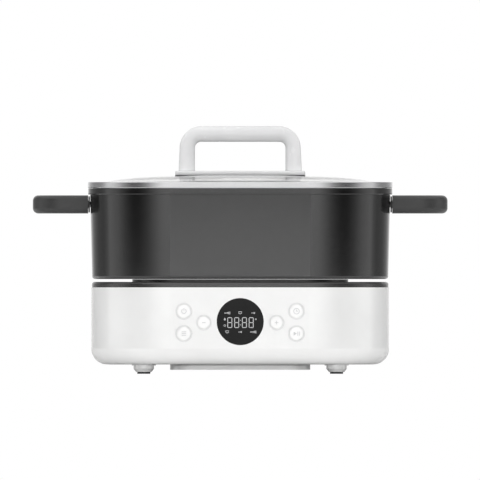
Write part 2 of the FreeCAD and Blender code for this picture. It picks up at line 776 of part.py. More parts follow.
# Heat shield: steel tray that carries the heating plate under the top plate
shield_outer = slab("shield_inner_length + 2 * shield_thickness", "shield_inner_width + 2 * shield_thickness",
                    "shield_inner_corner + shield_thickness", "shield_floor", "shield_depth")
shield_rim = slab("shield_inner_length + 2 * shield_edge", "shield_inner_width + 2 * shield_edge",
                  "shield_inner_corner + shield_edge", "heater_lip_top - shield_thickness",
                  "shield_thickness")
shield_hollow = slab("shield_inner_length", "shield_inner_width", "shield_inner_corner",
                     "shield_floor + shield_thickness", "shield_depth")
shield_slot = block(("shield_slot_length", "shield_slot_width", "3 * shield_thickness"),
                    ("0", half_width, "shield_floor - shield_thickness"))
collar_hole = cylinder("guide_radius + part_gap", "3 * shield_thickness",
                       ("0", "0", "shield_floor - shield_thickness"))
shield_leg_holes = [cylinder("screw_radius + screw_gap", "3 * shield_thickness",
                             (x, y, "shield_floor - shield_thickness")) for x, y in HEATER_LEGS]
shield_rim_holes = [cylinder("screw_radius + screw_gap", "3 * shield_thickness",
                             (x, y, "heater_lip_top - 2 * shield_thickness")) for x, y in SHIELD_SCREWS]
node(cut(fuse(shield_outer, shield_rim), shield_hollow, shield_slot, collar_hole, *shield_leg_holes,
         *shield_rim_holes), "heat_shield")
SHIELD_SCREW_LENGTH = "shield_thickness + rest_gap + screw_bite"
shield_screws = [screw((x, y, "heater_lip_top - shield_thickness"), length=SHIELD_SCREW_LENGTH)
                 for x, y in SHIELD_SCREWS]
leg_screws = [screw((x, y, "shield_floor"), length="screw_length") for x, y in HEATER_LEGS]
node(group(*shield_screws, *leg_screws), "shield_screws")

# Spring-loaded pan sensor in the middle of the heating plate
holder_level = "shield_floor + shield_thickness"
holder_profile = [
    ("stem_radius + stem_gap", "shield_floor"), ("guide_radius", "shield_floor"),
    ("guide_radius", holder_level),
    ("holder_radius", holder_level), ("holder_radius", holder_level + " + holder_thickness"),
    ("guide_radius", holder_level + " + holder_thickness"),
    ("guide_radius", holder_level + " + holder_thickness + guide_height"),
    ("stem_radius + stem_gap", holder_level + " + holder_thickness + guide_height"),
]
node(turned("SensorHolder", holder_profile), "sensor_holder")
cap_bottom = "heater_top - sensor_top_thickness"
clip_top = "shield_floor - sensor_travel - rest_gap"
clip_bottom = clip_top + " - clip_thickness"
sensor_profile = [
    ("0", clip_bottom + " - clip_thickness"), ("stem_radius", clip_bottom + " - clip_thickness"),
    ("stem_radius", clip_bottom), ("stem_radius - clip_groove", clip_bottom),
    ("stem_radius - clip_groove", clip_top), ("stem_radius", clip_top), ("stem_radius", cap_bottom),
    ("sensor_radius - sensor_wall", cap_bottom),
    ("sensor_radius - sensor_wall", cap_bottom + " - sensor_skirt"),
    ("sensor_radius", cap_bottom + " - sensor_skirt"), ("sensor_radius", "heater_top"), ("0", "heater_top"),
]
node(turned("SensorCap", sensor_profile), "sensor_cap")
clip_profile = [
    ("stem_radius - clip_groove + part_gap", clip_bottom + " + part_gap"),
    ("clip_radius", clip_bottom + " + part_gap"),
    ("clip_radius", clip_top + " - part_gap"),
    ("stem_radius - clip_groove + part_gap", clip_top + " - part_gap"),
]
node(turned("SensorClip", clip_profile), "sensor_clip")

spring_foot = value(holder_level + " + holder_thickness + spring_wire_radius + part_gap")
spring_head = value(cap_bottom + " - spring_wire_radius - part_gap")
spring_radius = value("spring_radius")
spring_climb = (spring_head - spring_foot) / (2 * math.pi * value("spring_turns"))


def spring_point(angle):
    """Where the spring's wire is after it has turned through this angle."""
    return FreeCAD.Vector(spring_radius * math.cos(angle), spring_radius * math.sin(angle),
                          spring_foot + spring_climb * angle)


def spring_heading(angle):
    """The direction of the spring's wire there."""
    return FreeCAD.Vector(-spring_radius * math.sin(angle), spring_radius * math.cos(angle),
                          spring_climb).normalize()


def tangent_arc(start, corner, end):
    """The arc from start to end whose tangents meet at the corner."""
    chord_middle = (start + end) / 2
    half_chord = (end - start).Length / 2
    rise = corner - chord_middle
    bulge = half_chord * math.tan(math.atan2(rise.Length, half_chord) / 2)
    return Part.Arc(start, chord_middle + rise.normalize() * bulge, end).toShape()


spring_arcs = []
for turn_part in range(round(4 * value("spring_turns"))):
    angles = (turn_part * QUARTER_TURN, (turn_part + 1) * QUARTER_TURN)
    start, end = [spring_point(angle) for angle in angles]
    start_way, end_way = [spring_heading(angle) for angle in angles]
    step = end - start
    across = step.dot(start_way + end_way)
    narrowing = 2 * (1 - start_way.dot(end_way))
    reach = (math.sqrt(across ** 2 + narrowing * step.dot(step)) - across) / narrowing
    first_corner, last_corner = start + start_way * reach, end - end_way * reach
    joint = (first_corner + last_corner) / 2
    spring_arcs += [tangent_arc(start, first_corner, joint), tangent_arc(joint, last_corner, end)]
wire_circle = Part.Circle(spring_point(0), spring_heading(0), value("spring_wire_radius"))
spring = doc.addObject("Part::Feature", "Spring")
spring.Shape = Part.Wire(spring_arcs).makePipeShell([Part.Wire([wire_circle.toShape()])], True, False)
node(spring, "sensor_spring")

# Thermal cutoff under the heat shield
CUTOFF_TOP = "shield_floor - part_gap"
cutoff = fuse(
    cylinder("cutoff_radius", "cutoff_height", ("cutoff_place_x", "0", CUTOFF_TOP + " - cutoff_height")),
    block(("2 * cutoff_radius", "cutoff_flange_width", "shield_thickness"),
          ("cutoff_place_x", "0", CUTOFF_TOP + " - shield_thickness")),
    block(("cutoff_radius", "shield_thickness", "2 * cutoff_height"),
          ("cutoff_place_x", "cutoff_radius / 2", CUTOFF_TOP + " - 2 * cutoff_height")),
    block(("cutoff_radius", "shield_thickness", "2 * cutoff_height"),
          ("cutoff_place_x", "-cutoff_radius / 2", CUTOFF_TOP + " - 2 * cutoff_height")))
node(cutoff, "thermal_cutoff")

# Control panel: window, digit module, board, switches and six push keys
WINDOW_BACK = "-(housing_wall + part_gap)"
window_profile = [
    ("0", WINDOW_BACK + " - window_lip_thickness"),
    ("window_radius + window_lip", WINDOW_BACK + " - window_lip_thickness"),
    ("window_radius + window_lip", WINDOW_BACK), ("window_radius", WINDOW_BACK), ("window_radius", "0"),
    ("0", "0"),
]
node(turned("Window", window_profile, ("0", "front_face", "panel_middle"), FRONTWARD), "display_window")
module_front = "inner_front + part_gap + window_lip_thickness + module_gap"
module_depth = "board_front - part_gap - (" + module_front + ")"
node(block(("module_length", module_depth, "module_height"),
           ("0", "(%s + board_front - part_gap) / 2" % module_front, "panel_middle - module_height / 2")),
     "display_module")

board = block(("board_length", "board_thickness", "board_height"),
              ("0", "board_front + board_thickness / 2", "panel_middle - board_height / 2"))
board_holes = [cylinder("small_screw_radius + screw_gap", "3 * board_thickness",
                        (x, "board_front - board_thickness", "panel_middle + " + z), REARWARD)
               for x, z in BOARD_POSTS]
node(cut(board, *board_holes), "control_board")
BOARD_BACK = "board_front + board_thickness"
board_screws = [screw((x, BOARD_BACK, "panel_middle + " + z), FRONTWARD, "small_screw_radius",
                      "small_screw_head_radius", length="small_screw_length") for x, z in BOARD_POSTS]
node(group(*board_screws), "board_screws")

switches = []
for x, z, radius in KEYS.values():
    body_block = block(("switch_side", "switch_height - part_gap", "switch_side"),
                       (x, "board_front - part_gap - switch_height / 2 + part_gap / 2",
                        "panel_middle + %s - switch_side / 2" % z))
    plunger = cylinder("plunger_radius", "plunger_height + switch_height / 2",
                       (x, "switch_front", "panel_middle + " + z), REARWARD)
    switches.append(fuse(body_block, plunger))
node(group(*switches), "tact_switches")

KEY_BACK = "-(housing_wall + key_gap)"
for key_name, (x, z, radius) in KEYS.items():
    key_profile = [
        ("0", "-key_depth"), ("key_stem_radius", "-key_depth"),
        ("key_stem_radius", KEY_BACK + " - key_lip_thickness"),
        (radius + " + key_lip", KEY_BACK + " - key_lip_thickness"), (radius + " + key_lip", KEY_BACK),
        (radius, KEY_BACK), (radius, "0"), ("0", "0"),
    ]
    node(turned("Key", key_profile, (x, "front_face", "panel_middle + " + z), FRONTWARD), "key_" + key_name)

# Power board on the bottom cover
power_board = block(("power_length", "power_width", "board_thickness"),
                    ("power_place_x", "power_place_y", "power_board_level"))
power_holes = [cylinder("small_screw_radius + screw_gap", "3 * board_thickness",
                        (x, y, "power_board_level - board_thickness")) for x, y in POWER_POSTS]
node(cut(power_board, *power_holes), "power_board")
node(group(*[screw((x, y, "power_top"), DOWNWARD, "small_screw_radius", "small_screw_head_radius",
                   length="small_screw_length") for x, y in POWER_POSTS]), "power_board_screws")
node(block(("relay_length", "relay_width", "relay_height"),
           ("power_place_x - power_length / 4", "power_place_y + power_width / 5", "power_top")),
     "power_relay")
node(block(("transformer_side", "transformer_side", "transformer_height"),
           ("power_place_x - power_length / 8", "power_place_y - power_width / 5", "power_top")),
     "supply_transformer")
node(cylinder("capacitor_radius", "capacitor_height",
              ("power_place_x + power_length / 4", "power_place_y - power_width / 3", "power_top")),
     "filter_capacitor")
TERMINAL_X = "power_place_x + power_length / 2 - terminal_length / 2 - power_post_inset / 2"
TERMINAL_Y = "power_place_y + power_width / 8"
node(block(("terminal_length", "terminal_width", "terminal_height"), (TERMINAL_X, TERMINAL_Y, "power_top")),
     "terminal_block")

# Recessed mains inlet in the rear wall
socket_outer = slab("inlet_length", "inlet_height", "inlet_corner", "0", "inlet_depth")
place(socket_outer, ("0", "base_width / 2", "inlet_middle"), FRONTWARD)
socket_lip = slab("inlet_length + 2 * inlet_lip", "inlet_height + 2 * inlet_lip",
                  "inlet_corner + inlet_lip", "0",
                  "inlet_lip_thickness")
place(socket_lip, ("0", "base_width / 2 - housing_wall - part_gap", "inlet_middle"), FRONTWARD)
socket_hollow = slab("inlet_length - 2 * inlet_wall", "inlet_height - 2 * inlet_wall",
                     "inlet_corner - inlet_wall",
                     "0", "2 * (inlet_depth - inlet_back)")
place(socket_hollow, ("0", "base_width / 2 + inlet_depth - inlet_back", "inlet_middle"), FRONTWARD)
PINS = [("-pin_spacing / 2", "pin_level"), ("0", "pin_level + earth_pin_rise"),
        ("pin_spacing / 2", "pin_level")]
PIN_TIP = "base_width / 2 - pin_setback"
PIN_TAIL = "base_width / 2 - inlet_depth - pin_tail"
pin_middle = "(%s + %s) / 2" % (PIN_TIP, PIN_TAIL)
pin_length = "%s - (%s)" % (PIN_TIP, PIN_TAIL)
pin_slots = [block(("pin_thickness + 2 * part_gap", "2 * inlet_back", "pin_height + 2 * part_gap"),
                   (x, "base_width / 2 - inlet_depth", "inlet_middle + %s - pin_height / 2 - part_gap" % z))
             for x, z in PINS]
node(cut(fuse(socket_outer, socket_lip), socket_hollow, *pin_slots), "inlet_socket")
node(group(*[block(("pin_thickness", pin_length, "pin_height"),
                   (x, pin_middle, "inlet_middle + %s - pin_height / 2" % z)) for x, z in PINS]),
     "inlet_pins")

# Wires inside the base
TERMINAL_FACE = TERMINAL_X + " + terminal_length / 2 + part_gap"
LOWER_WIRES = "power_top + terminal_height / 4"
UPPER_WIRES = "power_top + 3 * terminal_height / 4"
mains_wires = []
for side in (-1, 1):
    start_y = "%s %+d * terminal_width / 3" % (TERMINAL_Y, side)
    pin_x = "%d * pin_spacing / 2" % side
    mains_wires.append(tube([
        (TERMINAL_FACE, start_y, LOWER_WIRES, "0"),
        (pin_x, start_y, LOWER_WIRES, "wire_bend"),
        (pin_x, start_y, "inlet_middle + pin_level", "pin_wire_bend"),
        (pin_x, PIN_TAIL + " - part_gap", "inlet_middle + pin_level", "0"),
    ], "wire_radius"))
node(group(*mains_wires), "mains_wires")
heater_wires = []
for side in (-1, 1):
    start_y = "%s %+d * terminal_width / 8" % (TERMINAL_Y, side)
    rise_x = "%s + %d * wire_bend" % (TERMINAL_FACE, 3 - side)
    end_x = "%d * element_end" % side
    heater_wires.append(tube([
        (TERMINAL_FACE, start_y, UPPER_WIRES, "0"),
        (rise_x, start_y, UPPER_WIRES, "wire_bend"),
        (rise_x, half_width, tail_end + " - 3 * wire_bend", "wire_bend"),
        (end_x, half_width, tail_end + " - 3 * wire_bend", "wire_bend"),
        (end_x, half_width, tail_end + " - part_gap", "0"),
    ], "wire_radius"))
node(group(*heater_wires), "heater_wires")
CABLE_X = "power_place_x + power_length / 4"
panel_cable = tube([
    (CABLE_X, "power_place_y - power_width / 2 - part_gap", "power_board_level + board_thickness / 2", "0"),
    (CABLE_X, BOARD_BACK + " + 2 * wire_bend", "power_board_level + board_thickness / 2", "wire_bend"),
    ("-board_length / 2 + wire_bend", BOARD_BACK + " + 2 * wire_bend", "panel_middle - board_height / 4",
     "wire_bend"),
    ("-board_length / 2 + wire_bend", BOARD_BACK + " + part_gap", "panel_middle - board_height / 4", "0"),
], "wire_radius")
node(panel_cable, "panel_cable")

# Pot: drafted walls, thick rim flange
pot = new_body("Pot")
pot_low = plan(pot, "pot_length - 2 * pot_draft", "pot_width - 2 * pot_draft", "pot_corner - pot_draft",
               "pot_bottom")
bind(pad(pot, pot_low, "pot_height"), TaperAngle="atan(pot_draft / pot_height)")
doc.recompute()
fillet(pot, "pot_bottom_round", level_edge("pot_bottom"))
pot_rim = new_body("PotRim")
pad(pot_rim,
    plan(pot_rim, "pot_length + 2 * pot_flange", "pot_width + 2 * pot_flange", "pot_corner + pot_flange",
                  "flange_bottom"), "pot_flange_height")
fillet(pot_rim, "pot_flange_round", level_edge("flange_bottom"))
fillet(pot_rim, "pot_flange_round", level_edge("pot_top"))
pot_hollow = new_body("PotHollow")
inside_low = plan(pot_hollow, "pot_length - 2 * (pot_draft + pot_wall)",
                  "pot_width - 2 * (pot_draft + pot_wall)",
                  "pot_corner - pot_draft - pot_wall", "pot_bottom + pot_floor")
bind(pad(pot_hollow, inside_low, "pot_height - pot_floor + rest_gap"),
     TaperAngle="atan(pot_draft / pot_height)")
doc.recompute()
fillet(pot_hollow, "pot_inner_round", level_edge("pot_bottom + pot_floor"))
rivet_holes = [cylinder("rivet_radius + part_gap", "2 * handle_root",
                        ("-handle_root", y, "handle_level"), RIGHTWARD)
               for y in ("-rivet_spacing / 2", "rivet_spacing / 2")]
node(cut(fuse(pot, pot_rim), pot_hollow, *rivet_holes), "pot_shell")


def mirrored(item):
    """The same piece on the left side."""
    copy = doc.addObject("Part::Mirroring", "Mirror")
    copy.Source = item
    copy.Normal = (1, 0, 0)
    return copy


# Side handles on riveted steel brackets
handle = new_body("Handle")
handle_end = "handle_root + handle_reach"
handle_sketch = new_sketch(handle, "XY_Plane", "handle_bottom")
draw_polygon(handle_sketch, [
    ("handle_root", "-handle_width / 2"), (handle_end, "-handle_width / 2"),
    (handle_end, "handle_width / 2"), ("handle_root", "handle_width / 2"),
    ("handle_root", "handle_width / 2 - handle_leg"),
    (handle_end + " - handle_bar", "handle_width / 2 - handle_leg"),
    (handle_end + " - handle_bar", "-handle_width / 2 + handle_leg"),
    ("handle_root", "-handle_width / 2 + handle_leg"),
])
pad(handle, handle_sketch, "handle_height")


def upright_edge_at(x):
    """Accepts vertical edges at a distance along x."""
    place_x = value(x)

    def wanted(edge):
        heights = [vertex.Z for vertex in edge.Vertexes]
        near = all(abs(vertex.X - place_x) < NEAR for vertex in edge.Vertexes)
        return near and abs(heights[0] - heights[-1]) > NEAR and len(heights) == 2
    return wanted


fillet(handle, "handle_corner", upright_edge_at(handle_end))
fillet(handle, "handle_inner_corner", upright_edge_at(handle_end + " - handle_bar"))
root_x = value("handle_root")
handle_base, handle_crown = value("handle_bottom"), value("handle_bottom + handle_height")


def handle_rim(edge):
    """Accepts the top and bottom edges, apart from those of the root faces."""
    heights = [vertex.Z for vertex in edge.Vertexes]
    at_root = all(abs(vertex.X - root_x) < NEAR for vertex in edge.Vertexes)
    return not at_root and any(all(abs(z - level) < NEAR for z in heights)
                               for level in (handle_base, handle_crown))


fillet(handle, "handle_round", handle_rim)
LUG_Y = ("-handle_leg_place", "handle_leg_place")
SOCKET_SIDE = "lug_side + 2 * socket_gap"
sockets = [block(("2 * (lug_length + socket_gap)", SOCKET_SIDE, SOCKET_SIDE),
                 ("handle_root", y, "handle_level - (%s) / 2" % SOCKET_SIDE)) for y in LUG_Y]
handle_screw_holes = [cylinder("handle_screw_radius + screw_gap", "handle_height / 2",
                               ("lug_screw_x", y, "handle_bottom")) for y in LUG_Y]
handle_screw_seats = [cylinder("handle_screw_head_radius + screw_gap", "handle_screw_head_height + part_gap",
                               ("lug_screw_x", y, "handle_bottom")) for y in LUG_Y]
right_handle = cut(handle, *sockets, *handle_screw_holes, *handle_screw_seats)
node(right_handle, "pot_handle_right")
node(mirrored(right_handle), "pot_handle_left")

bracket_plate = block(("bracket_thickness", "handle_width - 2 * bracket_inset", "bracket_height"),
                      ("bracket_face + bracket_thickness / 2", "0", "handle_level - bracket_height / 2"))
LUG_RUN = "(lug_length + bracket_thickness / 2)"
bracket_lugs = [block((LUG_RUN, "lug_side", "lug_side"),
                      ("bracket_face + (bracket_thickness + %s) / 2" % LUG_RUN, y,
                       "handle_level - lug_side / 2"))
                for y in LUG_Y]
bracket_holes = [cylinder("handle_screw_radius + screw_gap", "2 * lug_side",
                          ("lug_screw_x", y, "handle_level - lug_side"))
                 for y in LUG_Y]
bracket_rivet_holes = [cylinder("rivet_radius + part_gap", "6 * bracket_thickness",
                                ("bracket_face - 2 * bracket_thickness", y, "handle_level"), RIGHTWARD)
                       for y in ("-rivet_spacing / 2", "rivet_spacing / 2")]
right_bracket = cut(fuse(bracket_plate, *bracket_lugs), *bracket_holes, *bracket_rivet_holes)
node(right_bracket, "handle_bracket_right")
node(mirrored(right_bracket), "handle_bracket_left")

rivet_inside = "-(bracket_gap + pot_wall + pot_draft / 2)"
rivet_profile = [
    ("0", rivet_inside + " - rivet_head_height"),
    ("rivet_head_radius", rivet_inside + " - rivet_head_height"),
    ("rivet_head_radius", rivet_inside), ("rivet_radius", rivet_inside),
    ("rivet_radius", "bracket_thickness + part_gap"), ("rivet_head_radius", "bracket_thickness + part_gap"),
    ("rivet_head_radius - rivet_head_height", "bracket_thickness + part_gap + rivet_head_height"),
    ("0", "bracket_thickness + part_gap + rivet_head_height"),
]
right_rivets = [turned("Rivet", rivet_profile, ("bracket_face", y, "handle_level"), RIGHTWARD)
                for y in ("-rivet_spacing / 2", "rivet_spacing / 2")]
node(group(*right_rivets, *[mirrored(rivet) for rivet in right_rivets]), "handle_rivets")
right_screws = [screw(("lug_screw_x", y, "handle_bottom + handle_screw_head_height"), UPRIGHT,
                      "handle_screw_radius",
                      "handle_screw_head_radius", "handle_screw_head_height", "handle_screw_length")
                for y in LUG_Y]
node(group(*right_screws, *[mirrored(item) for item in right_screws]), "handle_screws")

# Lid: steel rim band around a domed glass
def rim_slab(inset, bottom, thickness):
    """A slab of the rim's outline, drawn in by inset."""
    return slab("rim_length - 2 * (%s)" % inset, "rim_width - 2 * (%s)" % inset, "rim_corner - (%s)" % inset,
                bottom, thickness)


band = new_body("RimBand")
pad(band, plan(band, "rim_length", "rim_width", "rim_corner", "lid_bottom"), "rim_height")
fillet(band, "rim_round", level_edge("lid_bottom"))
fillet(band, "rim_round", level_edge("rim_top"))
channel = rim_slab("rim_wall", "lid_bottom + rim_wall", "rim_height - 2 * rim_wall")
mouth = rim_slab("rim_lip", "lid_bottom - rim_wall", "rim_height + 2 * rim_wall")
skirt = cut(rim_slab("skirt_inset", "lid_bottom - skirt_depth", "skirt_depth + rim_wall / 2"),
            rim_slab("skirt_inset + rim_wall", "lid_bottom - 2 * skirt_depth", "4 * skirt_depth"))
node(fuse(cut(band, channel, mouth), skirt), "lid_rim")

# Dome outline from the brim to the crown, as shares of the rim's plan and of the rise
DOME = [(0.95, 0.0), (0.86, 0.21), (0.78, 0.45), (0.70, 0.62), (0.58, 0.76), (0.42, 0.88), (0.22, 0.99)]


def dome(drop):
    """The solid under the dome's skin, lowered by drop and reaching below the brim."""
    sections = []
    base_level = "brim_top - glass_thickness - dome_rise"
    for share, rise in DOME:
        sketch = outline("rim_length * %g" % share, "rim_width * %g" % share, "rim_corner * %g" % share)
        sections.append(place(sketch, ("0", "0", "brim_top + dome_rise * %g - %s" % (rise, drop))))
    skin = doc.addObject("Part::Loft", "Dome")
    skin.Sections = sections
    skin.Solid = True
    skin.MaxDegree = 3
    first = DOME[0][0]
    foot = slab("rim_length * %g" % first, "rim_width * %g" % first, "rim_corner * %g" % first, base_level,
                "glass_thickness + dome_rise - %s" % drop)
    return fuse(skin, foot)


brim = rim_slab("glass_inset", "glass_bottom", "brim_top - glass_bottom")
SEAT = ("guard_length + 2 * seat_margin", "guard_width + 2 * seat_margin", "guard_corner + seat_margin")
seat_pad = slab("guard_length + 4 * glass_thickness", "guard_width + 4 * glass_thickness",
                "guard_corner + 2 * glass_thickness", "seat_underside", "glass_thickness - part_gap")
seat_hollow = slab(*SEAT, "seat_level", "dome_rise")
BAIL_SCREWS = ("-bail_screw_spacing / 2", "bail_screw_spacing / 2")
glass_holes = [cylinder("bush_radius + part_gap", "4 * glass_thickness",
                        (x, "0", "seat_underside - glass_thickness"))
               for x in BAIL_SCREWS]
vent_hole = cylinder("vent_sleeve_radius + part_gap", "6 * glass_thickness",
                     ("0", "vent_place_y", "vent_level - 4 * glass_thickness"))
under_brim = rim_slab("0", "lid_bottom - 4 * dome_rise", "glass_bottom - lid_bottom + 4 * dome_rise")
node(cut(fuse(cut(fuse(brim, dome("0")), dome("glass_thickness"), under_brim), seat_pad),
         seat_hollow, *glass_holes, vent_hole), "lid_glass")

# Bail handle on its guard plate, gasket, bushes and washers
bail = new_body("Bail")
bail_sketch = new_sketch(bail, "XZ_Plane")
bail_top = "guard_top + bail_height"
inner_top = bail_top + " - bail_thickness"
inner_side = "bail_length / 2 - bail_leg"
draw_polygon(bail_sketch, [
    ("-bail_length / 2", "guard_top"), ("-bail_length / 2 + bail_lean", bail_top),
    ("bail_length / 2 - bail_lean", bail_top), ("bail_length / 2", "guard_top"), (inner_side, "guard_top"),
    (inner_side, inner_top), ("-(%s)" % inner_side, inner_top), ("-(%s)" % inner_side, "guard_top"),
])
pad(bail, bail_sketch, "bail_depth", both_ways=True)


def cross_edge(level):
    """Accepts edges along y at a height."""
    height = value(level)

    def wanted(edge):
        ends = edge.Vertexes
        across = len(ends) == 2 and abs(ends[0].Y - ends[1].Y) > NEAR and abs(ends[0].X - ends[1].X) < NEAR
        return across and abs(ends[0].Z - height) < NEAR
    return wanted


fillet(bail, "bail_corner", cross_edge(bail_top))
fillet(bail, "bail_inner_corner", cross_edge(inner_top))
half_depth = value("bail_depth") / 2
foot_level = value("guard_top")
opening_half = value(inner_side)
opening_top = value(inner_top)


def face_edge(outer):
    """Accepts the front and back edges of the bail, outer or inner ones."""
    def wanted(edge):
        middle = edge.valueAt((edge.FirstParameter + edge.LastParameter) / 2)
        if abs(abs(middle.y) - half_depth) > NEAR or abs(middle.z - foot_level) < NEAR:
            return False
        inside = abs(middle.x) < opening_half + NEAR and middle.z < opening_top + NEAR
        return inside != outer
    return wanted


fillet(bail, "bail_outer_round", face_edge(True))
fillet(bail, "bail_inner_round", face_edge(False))
bail_holes = [cylinder("bail_screw_radius + screw_gap", "bail_screw_grip + part_gap", (x, "0", "guard_top"))
              for x in BAIL_SCREWS]
node(cut(bail, *bail_holes), "lid_handle")

guard = new_body("GuardPlate")
pad(guard, plan(guard, "guard_length", "guard_width", "guard_corner", "guard_bottom"), "guard_thickness")
fillet(guard, "guard_round", level_edge("guard_top"))
guard_holes = [cylinder("bail_screw_radius + screw_gap", "2 * guard_thickness",
                        (x, "0", "guard_bottom - guard_thickness / 2")) for x in BAIL_SCREWS]
node(cut(guard, *guard_holes), "handle_guard_plate")

gasket = slab("guard_length", "guard_width", "guard_corner", "seat_level", "gasket_thickness")
gasket_holes = [cylinder("bail_screw_radius + screw_gap", "2 * gasket_thickness",
                         (x, "0", "seat_level - gasket_thickness / 2")) for x in BAIL_SCREWS]
node(cut(gasket, *gasket_holes), "handle_gasket")

bush_profile = [
    ("bail_screw_radius + screw_gap", "seat_underside"), ("bush_radius - bush_taper", "seat_underside"),
    ("bush_radius", "seat_level - part_gap"), ("bail_screw_radius + screw_gap", "seat_level - part_gap"),
]
node(group(*[turned("Bush", bush_profile, (x, "0", "0")) for x in BAIL_SCREWS]), "handle_bushes")
washers = [cut(cylinder("washer_radius", "washer_thickness", (x, "0", "washer_bottom")),
               cylinder("bail_screw_radius + screw_gap", "3 * washer_thickness",
                        (x, "0", "washer_bottom - washer_thickness"))) for x in BAIL_SCREWS]
node(group(*washers), "handle_washers")
BAIL_SCREW_LENGTH = "guard_top + bail_screw_grip - washer_bottom"
node(group(*[screw((x, "0", "washer_bottom"), UPRIGHT, "bail_screw_radius", "bail_screw_head_radius",
                   "bail_screw_head_height", BAIL_SCREW_LENGTH) for x in BAIL_SCREWS]), "lid_handle_screws")

# Steam vent eyelet in the glass
UNDER_VENT = "vent_level - glass_thickness - 2 * rest_gap"
vent_profile = [
    ("vent_bore_radius", UNDER_VENT + " - vent_flange_height"),
    ("vent_flange_radius", UNDER_VENT + " - vent_flange_height"),
    ("vent_flange_radius", UNDER_VENT), ("vent_sleeve_radius", UNDER_VENT),
    ("vent_sleeve_radius", "vent_level + rest_gap"), ("vent_flange_radius", "vent_level + rest_gap"),
    ("vent_flange_radius", "vent_level + rest_gap + vent_flange_height"),
    ("vent_bore_radius", "vent_level + rest_gap + vent_flange_height"),
]
node(turned("SteamVent", vent_profile, ("0", "vent_place_y", "0")), "steam_vent")

doc.recompute()
faulty = [item.Label for item in doc.Objects if "Invalid" in item.State or "Error" in item.State]
if faulty:
    raise RuntimeError("objects that failed: " + ", ".join(faulty))
for item in PARTS:
    if item.Shape.isNull() or not item.Shape.isValid() or not item.Shape.Solids:
        raise RuntimeError("bad shape: " + item.Label)
os.makedirs("parts", exist_ok=True)
for item in PARTS:
    item.Shape.exportStep(os.path.join("parts", item.Label + ".step"))
    print("%-24s solids %2d  volume %10.1f" % (item.Label, len(item.Shape.Solids), item.Shape.Volume))
print(len(PARTS), "parts")
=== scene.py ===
"""The looks of an electric hot pot: its materials, panel marks, floor, lights and camera.

Every length is in metres in the frame of the CAD part: +Z up, and the panel faces -Y.
"""

import json
import math

import bpy
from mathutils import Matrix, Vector


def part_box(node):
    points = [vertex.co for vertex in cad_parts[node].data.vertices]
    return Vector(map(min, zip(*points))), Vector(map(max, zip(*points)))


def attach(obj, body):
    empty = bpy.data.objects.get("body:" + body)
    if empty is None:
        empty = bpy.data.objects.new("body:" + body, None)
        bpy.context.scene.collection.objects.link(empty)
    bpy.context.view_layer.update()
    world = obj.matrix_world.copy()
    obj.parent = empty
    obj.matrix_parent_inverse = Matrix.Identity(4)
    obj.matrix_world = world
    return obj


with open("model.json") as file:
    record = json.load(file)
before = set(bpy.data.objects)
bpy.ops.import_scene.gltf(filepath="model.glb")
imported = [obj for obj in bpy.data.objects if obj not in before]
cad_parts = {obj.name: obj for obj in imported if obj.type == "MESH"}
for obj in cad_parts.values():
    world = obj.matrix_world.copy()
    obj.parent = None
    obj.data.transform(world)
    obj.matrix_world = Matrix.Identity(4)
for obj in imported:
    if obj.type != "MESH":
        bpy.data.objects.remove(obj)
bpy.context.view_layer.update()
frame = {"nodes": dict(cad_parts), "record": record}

MM = 0.001

# The photograph: a straight front view without perspective
CAMERA_WIDTH = 480 * MM
CAMERA_X = -0.2 * MM
CAMERA_Z = 133.8 * MM
CAMERA_DISTANCE = 2.0

# Print marks, and the painted shade in the gap round each key: how far they stand out of a face and reach
# into it, and how wide their lines are
MARK_PROUD = 0.12 * MM
MARK_SUNK = 0.08 * MM
GAP_SHADE_WIDTH = 0.42 * MM
GAP_SHADE_MARGIN = 0.02 * MM
STROKE = 0.7 * MM

# Display marks, placed by their distances from the middle of the window
DIGIT_WIDTH = 4.9 * MM
DIGIT_HEIGHT = 10.6 * MM
DIGIT_STROKE = 0.72 * MM
SEGMENT_GAP = 0.1 * MM
DIGIT_SLOTS = (-10.4 * MM, -3.5 * MM, 4.2 * MM, 11.0 * MM)
DIGIT_LEVEL = -1.0 * MM
COLON_X = 0.35 * MM
COLON_RISE = 2.3 * MM
PICTOGRAM_ROWS = (8.6 * MM, -10.4 * MM)
PICTOGRAM_COLUMNS = (-13.0 * MM, 0.0, 13.0 * MM)
STATUS_LEFT = -15.4 * MM
STATUS_RIGHT = 15.6 * MM
STATUS_UPPER = 2.4 * MM
STATUS_LOWER = -3.9 * MM

# Sockets of a Mix node in colour mode, which share their names with those of the other modes
MIX_COLOUR_A, MIX_COLOUR_B, MIX_COLOUR_OUT = 6, 7, 2


def linked(tree, source, output, target, entry):
    """Joins an output of one node to an input of another."""
    tree.links.new(source.outputs[output], target.inputs[entry])


def blank_material(name):
    """A new material with its node tree and its shader."""
    material = bpy.data.materials.new(name)
    material.use_nodes = True
    tree = material.node_tree
    return material, tree, tree.nodes["Principled BSDF"]


def stretched_noise(tree, scale, stretch=(1, 1, 1), detail=4.0):
    """Noise in the part's own coordinates, stretched along an axis where the grain runs."""
    place = tree.nodes.new("ShaderNodeTexCoord")
    mapping = tree.nodes.new("ShaderNodeMapping")
    mapping.inputs["Scale"].default_value = stretch
    noise = tree.nodes.new("ShaderNodeTexNoise")
    noise.inputs["Scale"].default_value = scale
    noise.inputs["Detail"].default_value = detail
    linked(tree, place, "Object", mapping, "Vector")
    linked(tree, mapping, "Vector", noise, "Vector")
    return noise


def coloured(tree, shader, noise, dark, light):
    """The shader's colour wanders between two close shades."""
    ramp = tree.nodes.new("ShaderNodeValToRGB")
    ramp.color_ramp.elements[0].position = 0.35
    ramp.color_ramp.elements[0].color = (*dark, 1)
    ramp.color_ramp.elements[1].position = 0.65
    ramp.color_ramp.elements[1].color = (*light, 1)
    linked(tree, noise, "Fac", ramp, "Fac")
    linked(tree, ramp, "Color", shader, "Base Color")
    return ramp


